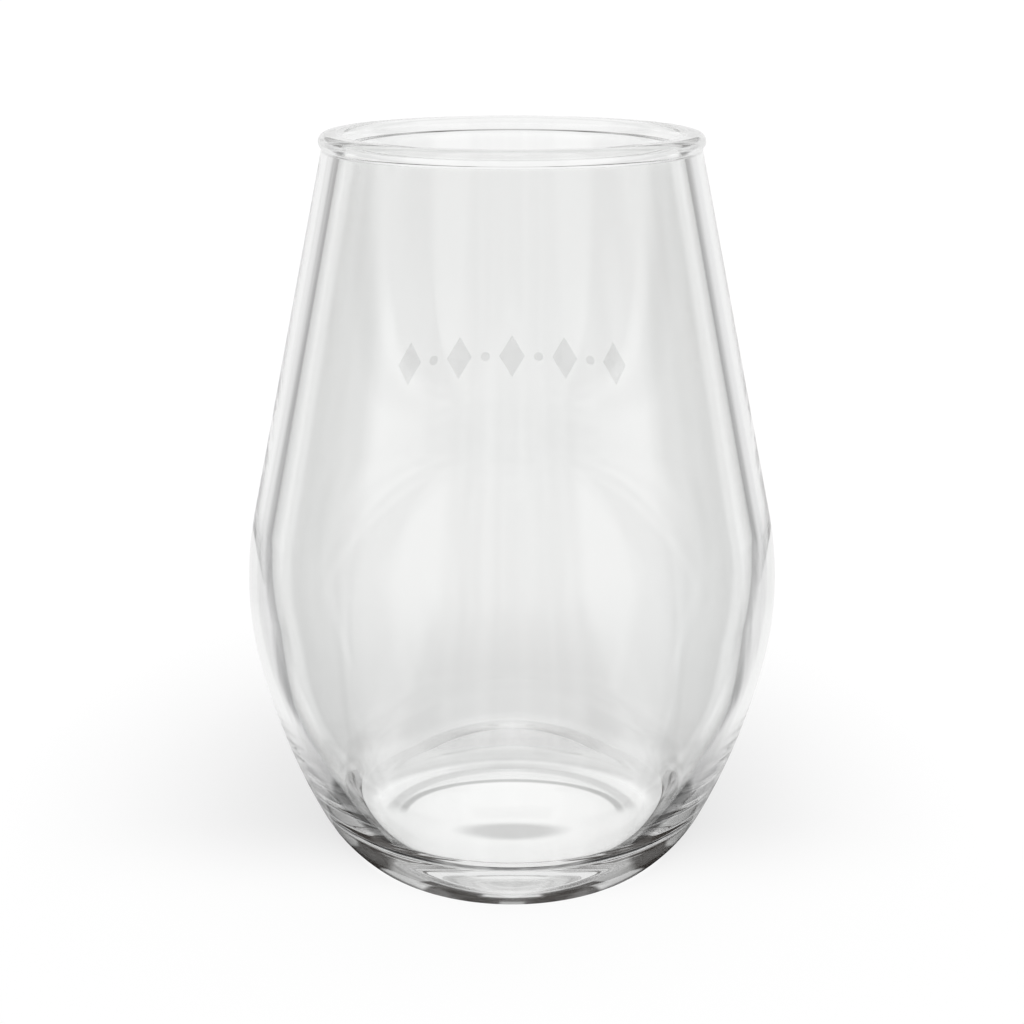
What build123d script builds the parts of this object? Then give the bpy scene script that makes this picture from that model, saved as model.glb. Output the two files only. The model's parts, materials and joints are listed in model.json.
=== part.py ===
from build123d import *
import os

# A stemless wine glass: one blown body of clear glass with a small frosted ornament fired on its outside.
# Millimetres, +Z up. The origin is the middle of the circle that the glass stands on.
# The ornament is on the far side, +Y, as seen by a drinker who faces the glass from -Y.

# Outside of the body
rim_height = 108.8  # top of the bead
widest_radius = 40.0
widest_height = 41.6
shoulder_radius = 53.5  # curve of the outline above and below the widest circle
cone_angle = 12.65  # lean of the straight upper wall, degrees
shoulder_drop_angle = 10.95  # how far the shoulder curve goes on below the widest circle, degrees
heel_height = 7.1  # where the flatter curve of the lower side turns into the heel
heel_overhang = 5.15  # how far the side stands out over the base there
base_radius = 26.0  # where the heel curve would meet the table
base_edge_fillet = 1.2

# Underside
standing_ring_width = 3.0  # flat ring that touches the table, before its edge is rounded
punt_height = 0.4  # hollow under the middle, which keeps the glass from rocking

# Rim
bead_thickness = 2.3  # fire-polished bead, a lying bar with round ends
bead_overhang = 0.65  # how far the bead stands out over the wall at its middle, outside
bead_lip = 0.05  # and inside
bead_root_fillet = 0.7

# Walls, measured level, and inside
rim_wall = 2.75
cone_foot_wall = 3.05  # where the straight upper wall meets the shoulder
shoulder_wall = 3.3  # at the widest circle
heel_wall = 3.4  # from the corner where the bowl's floor and side would meet out to the heel
floor_thickness = 5.55  # height of the middle of the bowl's floor over the table
floor_rise = 3.3  # the dished floor climbs this much from its middle to that corner
floor_edge_fillet = 4.6  # soft round of that corner

# Frosted ornament: a level row of upright lozenges with a dot between each two
ornament_height = 68.5  # middle of the row
ornament_film = 0.1  # thickness of the fired-on frosting
lozenge_count = 5
lozenge_length = 7.6  # upright
lozenge_width = 4.6
lozenge_spacing = 15.6  # around the glass, degrees
dot_radius = 0.8

os.makedirs("parts", exist_ok=True)

bead_height = rim_height - bead_thickness / 2
bead_width = bead_overhang + rim_wall + bead_lip
widest_point = Vector(widest_radius, widest_height)
ring_inner_radius = base_radius - standing_ring_width
heel_top = (base_radius + heel_overhang, heel_height)
floor_middle = (0, floor_thickness)
floor_edge = (base_radius + heel_overhang - heel_wall, floor_thickness + floor_rise)
punt_middle = (0, punt_height)
film_step = Vector(ornament_film, 0).rotate(Axis.Z, cone_angle)


with BuildPart() as glass_body:
    with BuildSketch(Plane.XZ) as wall_section:
        with BuildLine():
            # Outside, from the widest circle up to the rim
            shoulder = JernArc(widest_point, (0, 1), shoulder_radius, cone_angle)
            cone_rise = bead_height - (shoulder @ 1).Y
            cone = PolarLine(
                shoulder @ 1, cone_rise, angle=90 + cone_angle, length_mode=LengthMode.VERTICAL
            )
            neck = cone @ 1

            # Outside, from the widest circle down to the standing ring and in under the base
            shoulder_drop = JernArc(widest_point, (0, -1), shoulder_radius, -shoulder_drop_angle)
            side = TangentArc(shoulder_drop @ 1, heel_top, tangent=shoulder_drop % 1)
            heel = TangentArc(side @ 1, (base_radius, 0), tangent=side % 1)
            standing_ring = Line(heel @ 1, (ring_inner_radius, 0))
            TangentArc(punt_middle, standing_ring @ 1, tangent=(1, 0))

            # Inside, from the rim down: each curve runs on smoothly from the one above it
            inner_neck = neck - (rim_wall, 0)
            inner_cone = Line(inner_neck, shoulder @ 1 - (cone_foot_wall, 0))
            inner_shoulder = TangentArc(
                inner_cone @ 1, widest_point - (shoulder_wall, 0), tangent=inner_cone % 1
            )
            TangentArc(inner_shoulder @ 1, floor_edge, tangent=inner_shoulder % 1)
            TangentArc(floor_middle, floor_edge, tangent=(1, 0))

            # Top of the wall, hidden in the bead, and the glass on the axis
            Line(neck, inner_neck)
            Line(punt_middle, floor_middle)
        make_face()
        fillet(wall_section.vertices().sort_by_distance((base_radius, 0))[0], base_edge_fillet)
        fillet(wall_section.vertices().sort_by_distance(floor_edge)[0], floor_edge_fillet)
        with Locations(neck + (bead_overhang - bead_width / 2, 0)):
            SlotOverall(bead_width, bead_thickness)
        under_bead = neck + (bead_overhang, -bead_thickness / 2)
        fillet(wall_section.vertices().sort_by_distance(under_bead)[0], bead_root_fillet)
    revolve(axis=Axis.Z)

glass_body.part.label = "glass_body"
export_step(glass_body.part, "parts/glass_body.step")


def facing(angle):
    """The upright plane through the axis whose normal points away from the axis, turned from +Y by angle."""
    return Plane(
        origin=(0, 0, ornament_height),
        x_dir=Vector(-1, 0).rotate(Axis.Z, angle),
        z_dir=Vector(0, 1).rotate(Axis.Z, angle),
    )


row_start = -lozenge_spacing * (lozenge_count - 1) / 2
lozenge_angles = [row_start + lozenge_spacing * n for n in range(lozenge_count)]
dot_angles = [angle + lozenge_spacing / 2 for angle in lozenge_angles[:-1]]

with BuildPart() as frosted_ornament:
    # Each shape is cut straight out from the axis, and only its film on the glass is kept
    with BuildSketch(*[facing(angle) for angle in lozenge_angles]):
        with BuildLine():
            Polyline(
                (lozenge_width / 2, 0),
                (0, lozenge_length / 2),
                (-lozenge_width / 2, 0),
                (0, -lozenge_length / 2),
                close=True,
            )
        make_face()
    extrude(amount=2 * widest_radius)
    with BuildSketch(*[facing(angle) for angle in dot_angles]):
        Circle(dot_radius)
    extrude(amount=2 * widest_radius)
    with BuildSketch(Plane.XZ):
        with BuildLine():
            skin = Line(cone @ 0, cone @ 1)
            film = Line(*[point + film_step for point in (cone @ 0, cone @ 1)])
            Line(skin @ 0, film @ 0)
            Line(skin @ 1, film @ 1)
        make_face()
    revolve(axis=Axis.Z, mode=Mode.INTERSECT)

frosted_ornament.part.label = "frosted_ornament"
export_step(frosted_ornament.part, "parts/frosted_ornament.step")
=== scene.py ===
# %% [markdown]
# A stemless wine glass, empty, on a white table.
# The real glass is one blown body of clear, colourless glass: a heavy base, a bowl that is widest low down,
# a straight upper wall that leans in, and a fire-polished bead round the rim.
# On the far wall it carries a little frosted ornament.
# The solid model is loaded first and stays the fixed frame: every piece made here lies where its solid lies.

# %% Load the solid model
import json
import math

import bmesh
import bpy
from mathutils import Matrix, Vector

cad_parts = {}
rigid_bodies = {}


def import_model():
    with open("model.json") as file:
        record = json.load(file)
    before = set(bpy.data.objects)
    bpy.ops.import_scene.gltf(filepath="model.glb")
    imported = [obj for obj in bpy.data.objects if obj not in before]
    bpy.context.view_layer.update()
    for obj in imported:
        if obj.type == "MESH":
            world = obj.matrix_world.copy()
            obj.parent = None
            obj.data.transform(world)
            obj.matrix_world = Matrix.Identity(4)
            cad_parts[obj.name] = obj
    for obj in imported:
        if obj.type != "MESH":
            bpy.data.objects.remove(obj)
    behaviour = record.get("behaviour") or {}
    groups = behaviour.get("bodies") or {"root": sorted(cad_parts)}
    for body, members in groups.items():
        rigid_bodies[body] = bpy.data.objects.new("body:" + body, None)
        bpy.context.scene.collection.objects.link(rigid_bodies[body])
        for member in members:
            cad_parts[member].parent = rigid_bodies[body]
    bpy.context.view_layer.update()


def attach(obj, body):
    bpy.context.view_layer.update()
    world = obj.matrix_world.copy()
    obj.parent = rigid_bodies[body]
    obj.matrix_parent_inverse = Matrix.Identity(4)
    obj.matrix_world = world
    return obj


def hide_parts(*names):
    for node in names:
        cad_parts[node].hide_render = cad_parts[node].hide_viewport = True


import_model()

# %% [markdown]
# Clear glass is judged by the way it bends what lies behind it, so it needs a much smoother surface than a solid
# model's triangles give.
# Half of the wall, cut through the axis, is drawn as one outline and then turned round the axis, as on a lathe.
# The outline is made of straight lines and arcs that run on smoothly into each other.
# An arc is known from where it starts, which way it sets off and where it ends, so three small helpers draw them
# all.

# %% Helpers that draw arcs
def arc_middle(start, heading, end):
    """Middle of the circle that leaves start along heading and passes through end."""
    left = Vector((-heading.y, heading.x))
    chord = end - start
    return start + left * (chord.length_squared / (2 * left.dot(chord)))


def arc(middle, start, end, step=0.35):
    """Points on the circle round middle, the short way from start to end, about a step apart in millimetres."""
    spoke = start - middle
    first = math.atan2(spoke.y, spoke.x)
    turn = math.atan2(end.y - middle.y, end.x - middle.x) - first
    turn = (turn + math.pi) % math.tau - math.pi
    count = max(6, round(abs(turn) * spoke.length / step))
    angles = [first + turn * n / count for n in range(count + 1)]
    return [middle + spoke.length * Vector((math.cos(a), math.sin(a))) for a in angles]


def heading_at(middle, start, end):
    """Which way the short arc from start to end travels when it reaches end."""
    spoke = end - middle
    across = Vector((-spoke.y, spoke.x)).normalized()
    return across if across.dot(end - start) > 0 else -across


quarter = arc(Vector((0, 0)), Vector((10, 0)), Vector((0, 10)))
print("a quarter of a 20 mm circle gets", len(quarter), "points")

# %% [markdown]
# The outside is drawn in millimetres as radius and height.
# The widest circle is low, at about two fifths of the height, and the outline curves away from it both upwards and
# downwards with the same radius.
# Above, it runs straight to the rim. Below, it flattens towards the heel, which turns in under the glass.

# %% Outside of the glass
widest_point = Vector((40.0, 41.6))
shoulder_radius = 53.5
cone_angle = math.radians(12.65)
shoulder_drop_angle = math.radians(10.95)
base_radius = 26.0
heel_overhang = 5.15
heel_height = 7.1
rim_height = 108.8
bead_radius = 1.15

heel_top = Vector((base_radius + heel_overhang, heel_height))
shoulder_middle = widest_point - Vector((shoulder_radius, 0))
cone_foot = shoulder_middle + shoulder_radius * Vector((math.cos(cone_angle), math.sin(cone_angle)))
cone_rise = rim_height - bead_radius - cone_foot.y
neck = cone_foot + Vector((-cone_rise * math.tan(cone_angle), cone_rise))
drop_end = shoulder_middle + shoulder_radius * Vector(
    (math.cos(shoulder_drop_angle), -math.sin(shoulder_drop_angle))
)
drop_heading = heading_at(shoulder_middle, widest_point, drop_end)
side_middle = arc_middle(drop_end, drop_heading, heel_top)
heel_heading = heading_at(side_middle, drop_end, heel_top)
heel_middle = arc_middle(heel_top, heel_heading, Vector((base_radius, 0)))
heel_radius = (heel_top - heel_middle).length
print("straight wall from", cone_foot.to_tuple(1), "to", neck.to_tuple(1))
print("heel radius", round(heel_radius, 1), "mm")

# %% [markdown]
# The glass stands on a flat ring, and the middle of its underside is hollowed a little so that it doesn't rock.
# The sharp edge between the ring and the heel is fire-polished round.
# The rounding circle touches the table and lies inside the heel's circle, which gives its middle directly.

# %% Underside and rounded base edge
edge_round = 1.2
standing_ring_width = 3.0
hollow_height = 0.4

edge_reach = heel_radius - edge_round
edge_out = math.sqrt(edge_reach**2 - (heel_middle.y - edge_round) ** 2)
edge_middle = Vector((heel_middle.x + edge_out, edge_round))
edge_start = Vector((edge_middle.x, 0))
edge_end = heel_middle + (edge_middle - heel_middle).normalized() * heel_radius

hollow_top = Vector((0, hollow_height))
hollow_end = Vector((base_radius - standing_ring_width, 0))
hollow_middle = arc_middle(hollow_top, Vector((1, 0)), hollow_end)
print("standing ring from", hollow_end.x, "to", round(edge_start.x, 2), "mm")

# %% [markdown]
# The inside is not a copy of the outside: blowing leaves the wall thin at the rim and thicker lower down, and the
# floor of the bowl is a shallow dish in a heavy base.
# The dish and the side meet in a soft corner. Its rounding circle touches both of their circles from within, so its
# middle is where two smaller circles cross.

# %% Inside of the glass
rim_wall = 2.75
cone_foot_wall = 3.05
shoulder_wall = 3.3
heel_wall = 3.4
floor_thickness = 5.55
floor_rise = 3.3
corner_round = 4.6

inner_neck = neck - Vector((rim_wall, 0))
inner_foot = cone_foot - Vector((cone_foot_wall, 0))
inner_wide = widest_point - Vector((shoulder_wall, 0))
floor_middle = Vector((0, floor_thickness))
floor_edge = Vector((heel_top.x - heel_wall, floor_middle.y + floor_rise))
inner_heading = (inner_foot - inner_neck).normalized()
inner_shoulder_middle = arc_middle(inner_foot, inner_heading, inner_wide)
inner_wide_heading = heading_at(inner_shoulder_middle, inner_foot, inner_wide)
inner_side_middle = arc_middle(inner_wide, inner_wide_heading, floor_edge)
dish_middle = arc_middle(floor_middle, Vector((1, 0)), floor_edge)


def crossing(middle_a, radius_a, middle_b, radius_b):
    """The lower of the two points where two circles cross."""
    between = middle_b - middle_a
    gap = between.length
    along = (gap**2 + radius_a**2 - radius_b**2) / (2 * gap)
    off = math.sqrt(radius_a**2 - along**2)
    across = Vector((-between.y, between.x)) / gap
    foot_painted_shadow = middle_a + between * (along / gap)
    return min((foot_painted_shadow + across * off, foot_painted_shadow - across * off), key=lambda point: point.y)


inner_side_radius = (floor_edge - inner_side_middle).length
dish_radius = (floor_edge - dish_middle).length
corner_middle = crossing(
    inner_side_middle, inner_side_radius - corner_round, dish_middle, dish_radius - corner_round
)
corner_start = inner_side_middle + (corner_middle - inner_side_middle).normalized() * inner_side_radius
corner_end = dish_middle + (corner_middle - dish_middle).normalized() * dish_radius
print("bowl's corner from", corner_start.to_tuple(1), "to", corner_end.to_tuple(1))

# %% [markdown]
# The rim is broad: its section is a lying rounded bar that stands out a little over the wall on the outside.
# Under it, outside, a small hollow curve leads back to the wall, because molten glass leaves no sharp angle there.
# That curve touches the straight wall and the bar's round end, so its middle is one curve radius off the wall and
# one curve radius plus the end's radius from the end's middle.

# %% Rim bead
bead_overhang = 0.65
bead_lip = 0.05
bead_root = 0.7

outer_end = neck + Vector((bead_overhang - bead_radius, 0))
inner_end = neck - Vector((rim_wall + bead_lip - bead_radius, 0))
up_wall = (neck - cone_foot).normalized()
off_wall = Vector((up_wall.y, -up_wall.x))


def beside(middle, line_point, line_heading, reach):
    """The lower point on a line that lies reach away from a middle."""
    to_middle = middle - line_point
    along = to_middle.dot(line_heading)
    off = math.sqrt(reach**2 - (to_middle - line_heading * along).length_squared)
    ends = (line_point + line_heading * (along - off), line_point + line_heading * (along + off))
    return min(ends, key=lambda point: point.y)


root_middle = beside(outer_end, cone_foot + off_wall * bead_root, up_wall, bead_radius + bead_root)
root_start = root_middle - off_wall * bead_root
root_end = outer_end + (root_middle - outer_end).normalized() * bead_radius
bead_inside = beside(inner_end, inner_neck, inner_heading, bead_radius)
print("bead from", root_end.to_tuple(2), "to", bead_inside.to_tuple(2))

# %% [markdown]
# Now the pieces of the outline are strung together, from the middle of the underside, up the outside, over the bead
# and down the inside to the middle of the bowl's floor.
# The straight walls are divided too, so that neighbouring faces are of like size and the shading stays even. The
# bead is small and catches the light, so it gets the finest steps.

# %% String the outline together
bead_step = 0.12
bead_top_step = 0.2
over = Vector((0, bead_radius))


def straight(start, end, step=1.2):
    """Points on a straight line, about a step apart in millimetres."""
    count = max(2, round((end - start).length / step))
    return [start.lerp(end, n / count) for n in range(count + 1)]


runs = [
    arc(hollow_middle, hollow_top, hollow_end),
    straight(hollow_end, edge_start),
    arc(edge_middle, edge_start, edge_end),
    arc(heel_middle, edge_end, heel_top),
    arc(side_middle, heel_top, drop_end),
    arc(shoulder_middle, drop_end, cone_foot),
    straight(cone_foot, root_start),
    arc(root_middle, root_start, root_end, bead_step),
    arc(outer_end, root_end, outer_end + over, bead_step),
    straight(outer_end + over, inner_end + over, bead_top_step),
    arc(inner_end, inner_end + over, bead_inside, bead_step),
    straight(bead_inside, inner_foot),
    arc(inner_shoulder_middle, inner_foot, inner_wide),
    arc(inner_side_middle, inner_wide, corner_start),
    arc(corner_middle, corner_start, corner_end),
    arc(dish_middle, corner_end, floor_middle),
]
outline = [runs[0][0]]
for run in runs:
    outline += run[1:]
print("outline:", len(runs), "runs,", len(outline), "points")

# %% [markdown]
# Spinning the outline gives a closed skin of quads. Where it meets the axis, the doubled points are merged.
# A Screw modifier could turn it too, but a spun mesh can be smoothed and handed on as it is.
# The body takes the place of the solid glass, which stays hidden inside it.

# %% Turn the outline into the body
steps_round = 256
skin = bmesh.new()
points = [skin.verts.new((p.x / 1000, 0, p.y / 1000)) for p in outline]
edges = [skin.edges.new(pair) for pair in zip(points, points[1:])]
bmesh.ops.spin(
    skin, geom=points + edges, cent=(0, 0, 0), axis=(0, 0, 1), angle=math.tau, steps=steps_round, use_merge=True
)
bmesh.ops.remove_doubles(skin, verts=skin.verts, dist=1e-6)
bmesh.ops.recalc_face_normals(skin, faces=skin.faces)
for face in skin.faces:
    face.smooth = True
body_mesh = bpy.data.meshes.new("blown_body")
skin.to_mesh(body_mesh)
skin.free()
body = bpy.data.objects.new("blown_body", body_mesh)
bpy.context.scene.collection.objects.link(body)
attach(body, "root")
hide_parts("glass_body")
print("body:", len(body_mesh.polygons), "faces")

# %% [markdown]
# The ornament is frosting fired on to the outside of the far wall: a level row of upright lozenges with a dot
# between each two. On the real thing it is a film as thin as paint.
# Each shape is drawn flat, as points round its edge, in millimetres. Every point is then laid on the leaning wall:
# its height stays, and its sideways place becomes an angle round the glass.
# A hair's breadth of air keeps the film off the glass, so that the two surfaces don't flicker into each other.

# %% Shapes of the frosted row
row_height = 68.5
lozenge_half_width = 2.3
lozenge_half_length = 3.8
dot_radius = 0.8
air_gap = 0.02
side_points = 8
dot_points = 24

lozenge = [
    Vector((lozenge_half_width, 0)),
    Vector((0, lozenge_half_length)),
    Vector((-lozenge_half_width, 0)),
    Vector((0, -lozenge_half_length)),
]
lozenge_sides = list(zip(lozenge, lozenge[1:] + lozenge[:1]))
lozenge_edge = [a.lerp(b, n / side_points) for a, b in lozenge_sides for n in range(side_points)]
dot_angles = [n * math.tau / dot_points for n in range(dot_points)]
dot_edge = [dot_radius * Vector((math.cos(a), math.sin(a))) for a in dot_angles]


def on_wall(flat, bearing):
    """A flat point of a shape, laid on the straight wall at an angle from the far side of the glass."""
    height = row_height + flat.y
    radius = neck.x + (neck.y - height) * math.tan(cone_angle) + air_gap
    angle = bearing + math.asin(flat.x / radius)
    return Vector((radius * math.sin(angle), radius * math.cos(angle), height)) / 1000


print("lozenge:", len(lozenge_edge), "points, dot:", len(dot_edge), "points")

# %% [markdown]
# Each shape is filled with rings that shrink to its middle, so that it can follow the curve of the wall. The last
# ring but one lies close to the edge, which keeps the edge crisp.
# A Solidify modifier gives the film its thickness, outwards.

# %% Lay the frosted row on the wall
film_thickness = 0.00007
lozenge_spacing = math.radians(15.6)
ring_shares = (0.25, 0.5, 0.75, 0.96, 1)

row = [(lozenge_edge, lozenge_spacing * n) for n in range(-2, 3)]
row += [(dot_edge, lozenge_spacing * (n + 0.5)) for n in range(-2, 2)]
film = bmesh.new()
for edge, bearing in row:
    middle = film.verts.new(on_wall(Vector((0, 0)), bearing))
    rings = [[film.verts.new(on_wall(p * share, bearing)) for p in edge] for share in ring_shares]
    for n in range(len(edge)):
        m = (n + 1) % len(edge)
        film.faces.new((middle, rings[0][n], rings[0][m]))
        for inner, outer in zip(rings, rings[1:]):
            film.faces.new((inner[n], outer[n], outer[m], inner[m]))
bmesh.ops.recalc_face_normals(film, faces=film.faces)
for face in film.faces:
    face.smooth = True
    if face.normal.y < 0:
        face.normal_flip()
film_mesh = bpy.data.meshes.new("frosted_row")
film.to_mesh(film_mesh)
film.free()
frosted_row = bpy.data.objects.new("frosted_row", film_mesh)
bpy.context.scene.collection.objects.link(frosted_row)
thickness = frosted_row.modifiers.new("film", "SOLIDIFY")
thickness.thickness = film_thickness
thickness.offset = 1
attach(frosted_row, "root")
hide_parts("frosted_ornament")
print("frosted row:", len(row), "shapes,", len(film_mesh.polygons), "faces")

# %% [markdown]
# The finishes are made of shader nodes. To keep the maths readable, one small class wraps an output socket, and
# Python's own operators on it add the Math nodes.
# Any other node comes from its add method: the node's type, then its settings, then the values or wires of its
# sockets.
# Two more words say where a value lies: past an edge, or between two, each with a soft step instead of a hard one.

# %% Shader maths as Python
class Wire:
    """An output socket of a shader node, or at the start only the tree that it will be in."""

    def __init__(self, tree, socket=None):
        self.tree = tree
        self.socket = socket

    def add(self, kind, settings=None, values=None, out=0):
        """A new node of any kind in the same tree, as the wire from one of its outputs."""
        node = self.tree.nodes.new(kind)
        for name, setting in (settings or {}).items():
            if name == "stops":
                ramp = node.color_ramp.elements
                while len(ramp) < len(setting):
                    ramp.new(1)
                for stop, (position, shade) in zip(ramp, setting):
                    stop.position = position
                    stop.color = (shade, shade, shade, 1)
            else:
                setattr(node, name, setting)
        for name, value in (values or {}).items():
            if isinstance(value, Wire):
                self.tree.links.new(value.socket, node.inputs[name])
            else:
                node.inputs[name].default_value = value
        return Wire(self.tree, node.outputs[out]) if node.outputs else self

    def other(self, name):
        """Another output of the node that this wire comes from."""
        return Wire(self.tree, self.socket.node.outputs[name])

    def sum(self, operation, *values):
        """A Math node of any operation."""
        return self.add("ShaderNodeMath", {"operation": operation}, dict(enumerate(values)))

    def __add__(self, value):
        return self.sum("ADD", self, value)

    def __sub__(self, value):
        return self.sum("SUBTRACT", self, value)

    def __rsub__(self, value):
        return self.sum("SUBTRACT", value, self)

    def __mul__(self, value):
        return self.sum("MULTIPLY", self, value)

    def __abs__(self):
        return self.sum("ABSOLUTE", self)

    __radd__ = __add__
    __rmul__ = __mul__

    def past(self, edge, soft):
        """0 below an edge and 1 above it, with a soft step between."""
        return self.add(
            "ShaderNodeMapRange", {"interpolation_type": "SMOOTHSTEP"},
            {"Value": self, "From Min": edge - soft, "From Max": edge + soft},
        )

    def between(self, low, high, soft):
        """1 where this value lies between low and high, 0 outside, with soft edges."""
        return self.past(low, soft) * (1 - self.past(high, soft))

    def more_than(self, count):
        """1 where a whole number is more than a count, and 0 where it isn't."""
        return self.past(count + 0.5, 0.2)


def new_finish(piece, name):
    """An empty node material on a piece, and the wire that its nodes are added to."""
    material = bpy.data.materials.new(name)
    material.use_nodes = True
    material.node_tree.nodes.clear()
    piece.data.materials.clear()
    piece.data.materials.append(material)
    return Wire(material.node_tree)


def mix_colours(factor, first, second):
    """The first colour where a factor is 0, the second where it is 1. A Mix node takes them in sockets 6 and 7."""
    return factor.add(
        "ShaderNodeMix", {"data_type": "RGBA"}, {"Factor": factor, 6: first, 7: second}, out=2
    )


print("wires are ready")

# %% [markdown]
# Clear glass is all transmission: its colour only tints what passes through.
# A perfect surface would look too exact, so the nodes add what a blown glass has: faint rings left by the turning
# mould, which bend the light a very little, a polish that isn't quite the same all over, and the least hint of
# cooler and warmer glass. Where the upper wall is seen aslant, light crosses more of it, and the glass is painted
# greyer there: a painted shade in the glass's tint.

# %% Finish of the clear glass
cool_glass = (0.948, 0.956, 0.953, 1)
warm_glass = (0.956, 0.954, 0.95, 1)
aslant_painted_grey = (0.83, 0.835, 0.83, 1)
ring_stretch = (22.0, 22.0, 130.0)

glass = new_finish(body, "clear_glass")
place = glass.add("ShaderNodeTexCoord", out="Object")
turned = glass.add("ShaderNodeVectorMath", {"operation": "MULTIPLY"}, {0: place, 1: ring_stretch})
mould_rings = glass.add("ShaderNodeTexNoise", {}, {"Vector": turned, "Scale": 1.0, "Detail": 2.0}, out="Fac")
drift = glass.add("ShaderNodeTexNoise", {}, {"Vector": place, "Scale": 35.0, "Detail": 3.0}, out="Fac")
slant = glass.add("ShaderNodeLayerWeight", {}, {"Blend": 0.5}, out="Facing")
wall_height = glass.add("ShaderNodeSeparateXYZ", {}, {0: place}, out="Z")
# Painted shade: the glass's tint turns grey where the upper wall is seen aslant.
aslant_shade_mask = slant.between(0.32, 0.45, 0.04) * wall_height.past(0.04, 0.02)
tint = mix_colours(aslant_shade_mask, mix_colours(drift, cool_glass, warm_glass), aslant_painted_grey)
polish = glass.add("ShaderNodeValToRGB", {"stops": [(0.3, 0.0), (0.75, 0.012)]}, {"Fac": drift})
waves = glass.add("ShaderNodeBump", {}, {"Strength": 0.05, "Distance": 0.00005, "Height": mould_rings})
glass_shader = glass.add(
    "ShaderNodeBsdfPrincipled", {},
    {
        "Base Color": tint,
        "Roughness": polish,
        "Normal": waves,
        "IOR": 1.5,
        "Transmission Weight": 1.0,
    },
)
glass.add("ShaderNodeOutputMaterial", {}, {"Surface": glass_shader})
print("clear glass:", len(glass.tree.nodes), "nodes")

# %% [markdown]
# Frosting is a crust of tiny glass grains, fired on just hot enough to stick.
# It scatters light, so it is rough and pale, and it is thin enough to see the brightness behind it.
# A fine noise makes the grains: it raises the surface a little, thins the film between them and varies its gloss. A
# coarser noise makes the film a little cloudy.

# %% Finish of the frosting
thin_frost = (0.72, 0.73, 0.74, 1)
thick_frost = (0.86, 0.87, 0.87, 1)

frost = new_finish(frosted_row, "frosting")
frost_place = frost.add("ShaderNodeTexCoord", out="Object")
grain = frost.add(
    "ShaderNodeTexNoise", {}, {"Vector": frost_place, "Scale": 5200.0, "Detail": 4.0}, out="Fac"
)
cloud = frost.add(
    "ShaderNodeTexNoise", {}, {"Vector": frost_place, "Scale": 420.0, "Detail": 2.0}, out="Fac"
)
crust = frost.add("ShaderNodeBump", {}, {"Strength": 0.5, "Distance": 0.00004, "Height": grain})
frost_shader = frost.add(
    "ShaderNodeBsdfPrincipled", {},
    {
        "Base Color": mix_colours(cloud, thin_frost, thick_frost),
        "Roughness": 0.5 + 0.3 * grain,
        "Alpha": 0.02 + 0.07 * grain + 0.04 * cloud,
        "Normal": crust,
        "IOR": 1.5,
    },
)
frost.add("ShaderNodeOutputMaterial", {}, {"Surface": frost_shader})
print("frosting:", len(frost.tree.nodes), "nodes")

# %% [markdown]
# Glass shows its surroundings more than itself, so the studio matters as much as the finish.
# It is described by bearing round the glass and by height over the table, both in degrees, as lists of cards, and
# each card covers the ones before it. Both sides of the studio are alike.
# The first list is for light that the glass mirrored at least once: a bright wall behind the glass, a dim strip on
# each side of it that draws the dark line along the edges, black flags beside the glass, and windows above.
# Light that only passed through the glass meets plain white, as it does in front of a lit backdrop. Mostly the
# thick base throws such light upwards, to the second list: a dark frame with small windows. The rim does so too,
# and the last card is a pale strip for it.
# Light that was mirrored more than ten times has seen so much of the studio that it gets one pale grey.

# %% Cards round the glass
mirrored_cards = [
    # brightness, from and to aside of the far side, from and to above the table, softness of the edges
    (0.92, -9, 38, -90, 12, 3),
    (0.34, 42.5, 52, -90, 9, 3.5),
    (0.95, 55, 63.5, -90, 9, 2.5),
    (0.01, 66, 108, -90, 9, 2),
    (0.9, 113, 150, -90, 8, 3),
    (1.0, -9, 14, 12, 56, 2),
    (0.02, -9, 11, 36.5, 41, 1),
    (0.04, 11, 24, 12, 21, 1.5),
    (0.5, 14, 23, 23, 36, 1.5),
    (0.02, 24, 72, 13, 46, 1.5),
    (0.65, 74, 112, 11, 29, 1.5),
    (0.02, 71, 97, 33, 46, 1.5),
    (0.15, 112, 189, 12, 44, 2),
    (0.8, 14, 30, 42, 56, 1.5),
    (1.0, -9, 30, 65, 90, 2),
    (0.5, -9, 20, 57, 64, 1.5),
    (0.03, 58, 92, 60, 80, 1),
    (0.5, 98, 189, 46, 67, 2),
    (0.02, 151, 171, 57, 68, 1),
    (1.0, 172, 189, 56, 69, 1),
    (1.0, 140, 189, 69, 90, 2),
]
upward_cards = [
    (0.02, -9, 189, 5, 50, 2),
    (0.9, 23, 38, 29, 38, 1),
    (1.0, -9, 8, 35.5, 45, 1),
    (0.6, -9, 3, 5, 31, 0.8),
]
often = 10
often_level = 0.85


def studio_level(cards, bearing, aside, rise):
    """Brightness of the studio: a dim, streaky room with the cards of one list in it."""
    streaks = bearing.add(
        "ShaderNodeTexNoise", {"noise_dimensions": "1D"},
        {"W": bearing, "Scale": 0.11, "Detail": 2.0}, out="Fac",
    )
    level = 0.1 + 0.9 * streaks
    for shade, left, right, low, high, soft in cards:
        cover = aside.between(left, right, soft) * rise.between(low, high, soft)
        level = level + cover * (shade - level)
    return level


print("studio:", len(mirrored_cards), "and", len(upward_cards), "cards")

# %% [markdown]
# The glass stands on a seamless white table: one plane, so wide that its edges never show, a hair under the glass.
# What the table shows depends on where a place on it lies and on how the light came there, so these wires come
# first. Light Path tells whether the camera or the glass is looking, and how often the light was mirrored.
# Marks on the table are ovals, because that is what rings under a glass turn into when a thick base bends them.

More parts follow.
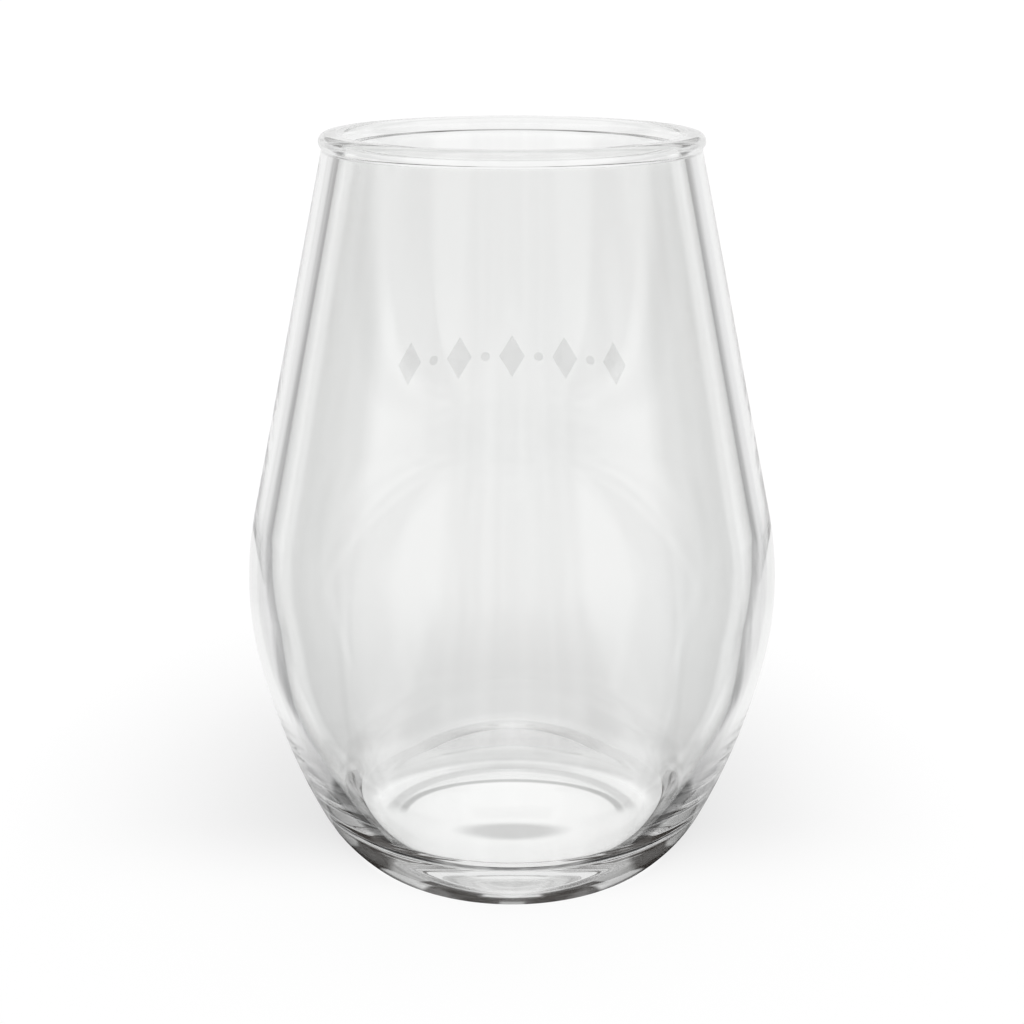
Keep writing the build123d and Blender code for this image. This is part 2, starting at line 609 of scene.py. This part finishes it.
# %% White table and places on it
table_half = 12.0
table_drop = 0.00005
table_corners = [(-1, -1), (1, -1), (1, 1), (-1, 1)]
table_mesh = bpy.data.meshes.new("table")
table_mesh.from_pydata([(table_half * x, table_half * y, 0) for x, y in table_corners], [], [(0, 1, 2, 3)])
table = bpy.data.objects.new("table", table_mesh)
table.location.z = -table_drop
bpy.context.scene.collection.objects.link(table)

white = new_finish(table, "white_table")
spot = white.add("ShaderNodeTexCoord", out="Object")
far = white.add("ShaderNodeVectorMath", {"operation": "LENGTH"}, {0: spot}, out="Value")
east = white.add("ShaderNodeSeparateXYZ", {}, {0: spot}, out="X")
north = east.other("Y")
ray = white.add("ShaderNodeLightPath", out="Is Camera Ray")
times = ray.other("Glossy Depth")
was_mirrored = times.more_than(0)


def oval(middle, across, along, sideways=0, tilt=0):
    """How far out a place on the table is, where 1 is the edge of an oval, or of two that lie side by side."""
    out, up = abs(east) - sideways, north - middle
    lean, keep = math.sin(math.radians(tilt)), math.cos(math.radians(tilt))
    long_way = (out * keep + up * lean) * (1 / across)
    short_way = (up * keep - out * lean) * (1 / along)
    return east.sum("SQRT", long_way * long_way + short_way * short_way)


print("table:", 2 * table_half, "m wide")

# %% [markdown]
# Mirrored light sees the cards run on over the table, from beside the glass outwards, and a painted shadow at its
# foot, where the glass keeps the light off. The painted shadow is two tilted ovals beside the foot and a flat one
# before it.

# %% Table as mirrored light sees it
wall_reach = 0.03
wall_middle = 0.06
dim_reach = 50
bearing = east.sum("ARCTAN2", east, north) * math.degrees(1)
aside = abs(east.sum("ARCTAN2", abs(east) - wall_reach, north + wall_reach)) * math.degrees(1)
below = east.sum("DIVIDE", -math.degrees(wall_middle), far)

beside_foot = oval(-0.0145, 0.0155, 0.0075, sideways=0.025, tilt=20)
before_foot = oval(-0.0268, 0.012, 0.0022)
# Painted shadow: the table is dimmer near the foot and darkest in the ovals beside and before it.
foot_painted_shadow = 0.55 + 0.45 * oval(-0.008, 0.001, 0.001).past(dim_reach, 15)
foot_painted_shadow = foot_painted_shadow * (0.01 + 0.99 * beside_foot.past(1.0, 0.12))
foot_painted_shadow = foot_painted_shadow * (0.15 + 0.85 * before_foot.past(1.0, 0.2))
mirrored = studio_level(mirrored_cards, bearing, aside, below) * foot_painted_shadow
mirrored = mirrored + times.more_than(often) * (often_level - mirrored)
print("mirrored table: dimmer within", dim_reach, "mm of the glass's foot")

# %% [markdown]
# Light that only passed through the glass sees the table itself. Under the base the glass gathers light like a
# lens, so the table there is painted a little brighter than white, a painted pool of light, and through the walls
# it is painted a little greyer, a painted shade.
# A real base also bends the light into hoops round the back of the bowl's floor, and into a grey spot before them.
# The exact shape inside the base can't be seen, so here both are painted on the table as soft ovals. The hoops show
# only through the glass: from the middle outwards a thin dark line, a grey gap, a darker band, a bright line and a
# paler strip.

# %% Table as seen through the glass
# Painted light: a brighter oval under the base. Painted shade: a greyer table seen through the walls.
under = 1 - oval(-0.0058, 0.0248, 0.0194).past(0.97, 0.06)
through_walls = (1 - ray) * (1 - under) * (1 - far.past(1.2, 0.15))
lens = 1 + 0.12 * under - 0.06 * through_walls

arch = oval(-0.008, 0.0185, 0.0156)
outer_arch = oval(-0.012, 0.0212, 0.0245)
thin_line = arch.between(0.95, 1.02, 0.02)
grey_gap = arch.past(1.04, 0.02) * (1 - outer_arch.past(0.92, 0.02))
dark_band = outer_arch.between(0.93, 1.02, 0.02)
bright_line = outer_arch.between(1.06, 1.12, 0.03) * (1 - under)
pale_strip = outer_arch.between(1.1, 1.6, 0.05)
hoops = 0.45 * thin_line + 0.1 * grey_gap + 0.25 * dark_band - 0.3 * bright_line - 0.09 * pale_strip
at_back = north.past(-0.0065, 0.002)
lens = lens * (1 - hoops * at_back * (1 - ray))

front_spot = 1 - oval(-0.0119, 0.0092, 0.0033).past(0.85, 0.3)
lens = lens * (1 - 0.36 * front_spot)
print("table seen through the glass:", len(white.tree.nodes), "nodes so far")

# %% [markdown]
# Part of the table's white is light of its own, so that it stays white wherever the camera looks, and the rest is a
# matt white that takes the shadow. The share of matt white is largest away from the glass and behind it, and there
# is none for mirrored light or under the base. Where the share is smaller, the glow is painted light that lightens
# the glass's shadow.
# Light on its way to a matt surface meets only the matt white, so the table's own light never brightens the object.

# %% Finish of the table
matt_white = (0.9, 0.9, 0.9, 1)
brightness = lens + was_mirrored * (mirrored - lens)
tone = white.add("ShaderNodeCombineColor", {}, {0: brightness, 1: brightness, 2: brightness})
glow = white.add("ShaderNodeEmission", {}, {"Color": tone, "Strength": 1.0})
matt = white.add("ShaderNodeBsdfDiffuse", {}, {"Color": matt_white})

in_glass = ray.other("Is Glossy Ray") + ray.other("Is Transmission Ray")
seen = ray.sum("MINIMUM", ray + in_glass, 1.0)
shadow_depth = 0.14 + 0.16 * ray + 0.3 * far.past(0.045, 0.018)
shadow_depth = shadow_depth * (0.15 + 0.85 * north.past(-0.013, 0.013))
# Painted light: near the glass, before it and under the base the glow takes the place of the shaded matt white.
own_and_painted_light = 1 - shadow_depth * (1 - ray.sum("MAXIMUM", was_mirrored, under))
table_shader = white.add("ShaderNodeMixShader", {}, {0: seen * own_and_painted_light, 1: matt, 2: glow})
white.add("ShaderNodeOutputMaterial", {}, {"Surface": table_shader})
print("table:", len(white.tree.nodes), "nodes")

# %% [markdown]
# The world is the studio beyond the table, so the same cards stand in it, this time by the direction of the light.
# Light that was mirrored very often and still rises steeply sees the cards again, which keeps the base dark.

# %% Cards in the world
very_often = 15
upward_from = 23.5

world = bpy.data.worlds.new("studio")
bpy.context.scene.world = world
world.use_nodes = True
world.node_tree.nodes.clear()
studio = Wire(world.node_tree)
way = studio.add("ShaderNodeTexCoord", out="Generated")
way_east = studio.add("ShaderNodeSeparateXYZ", {}, {0: way}, out="X")
turn = way_east.sum("ARCTAN2", way_east, way_east.other("Y")) * math.degrees(1)
rise = way_east.sum("ARCSINE", way_east.other("Z")) * math.degrees(1)
sky_ray = studio.add("ShaderNodeLightPath", out="Is Diffuse Ray")
sky_times = sky_ray.other("Glossy Depth")
sky_mirrored = sky_times.more_than(0)

evened = sky_times.more_than(often) * (1 - sky_times.more_than(very_often) * rise.past(30, 3))
mirrored_sky = studio_level(mirrored_cards, turn, abs(turn), rise)
mirrored_sky = mirrored_sky + evened * (often_level - mirrored_sky)
upward_sky = studio_level(upward_cards, turn, abs(turn), rise)
upward = (1 - sky_mirrored) * sky_ray.other("Is Transmission Ray") * rise.past(upward_from, 1.5)
print("cards in the world:", len(world.node_tree.nodes), "nodes so far")

# %% [markdown]
# The camera, and light that passed level through the glass, see the world plain white. Matt surfaces get half of
# that, so that they aren't washed out.
# Light that the glass mirrored or threw upwards sees the cards. The darkest of them are a warm brown, as dim rooms
# are.

# %% World
dark_room = (0.02, 0.014, 0.01, 1)
pure_white = (1, 1, 1, 1)
matt_light = 0.5

card_tone = mix_colours(upward_sky + sky_mirrored * (mirrored_sky - upward_sky), dark_room, pure_white)
full_sky = studio.add("ShaderNodeBackground", {}, {"Color": pure_white, "Strength": 1.0})
half_sky = studio.add("ShaderNodeBackground", {}, {"Color": pure_white, "Strength": matt_light})
plain_sky = studio.add("ShaderNodeMixShader", {}, {0: sky_ray, 1: full_sky, 2: half_sky})
card_sky = studio.add("ShaderNodeBackground", {}, {"Color": card_tone, "Strength": 1.0})
to_cards = sky_ray.sum("MAXIMUM", sky_mirrored, upward)
sky = studio.add("ShaderNodeMixShader", {}, {0: to_cards, 1: plain_sky, 2: card_sky})
studio.add("ShaderNodeOutputWorld", {}, {"Surface": sky})
print("world:", len(world.node_tree.nodes), "nodes")

# %% [markdown]
# One wide soft lamp above the glass, a little to the right, throws the faint shadow round its foot.
# A sun lamp with a wide disc does it, because it lights the far end of the table as brightly as the near one.

# %% Soft lamp
lamp_data = bpy.data.lights.new("soft_lamp", "SUN")
lamp_data.angle = math.radians(60)
lamp_data.energy = 2.12
lamp = bpy.data.objects.new("soft_lamp", lamp_data)
lamp.location = (0.05, -0.14, 0.72)
lamp.rotation_euler = (-lamp.location).to_track_quat("-Z", "Y").to_euler()
lamp.visible_glossy = False
lamp.visible_transmission = False
bpy.context.scene.collection.objects.link(lamp)
print("lamp: a disc of", round(math.degrees(lamp_data.angle)), "degrees")

# %% [markdown]
# The camera looks slightly down on the glass from close by, which is why the rim shows as a wide oval and the lower
# bowl tapers strongly.
# Light that goes in and out of glass many times needs many bounces, or the base turns black. Light focused by the
# glass on to the table is left out, because it would only come out as specks.

# %% Camera
camera_data = bpy.data.cameras.new("camera")
camera_data.sensor_width = 36
camera_data.lens = 55
camera_data.clip_start = 0.01
camera = bpy.data.objects.new("camera", camera_data)
camera.location = (0, -0.22513, 0.12932)
camera.rotation_euler = (math.radians(71.1), 0, 0)
bpy.context.scene.collection.objects.link(camera)
scene = bpy.context.scene
scene.camera = camera
scene.view_settings.view_transform = "Standard"
scene.cycles.max_bounces = 128
scene.cycles.transmission_bounces = 64
scene.cycles.glossy_bounces = 128
scene.cycles.transparent_max_bounces = 16
scene.cycles.caustics_reflective = False
scene.cycles.caustics_refractive = False
print("camera:", camera_data.lens, "mm")
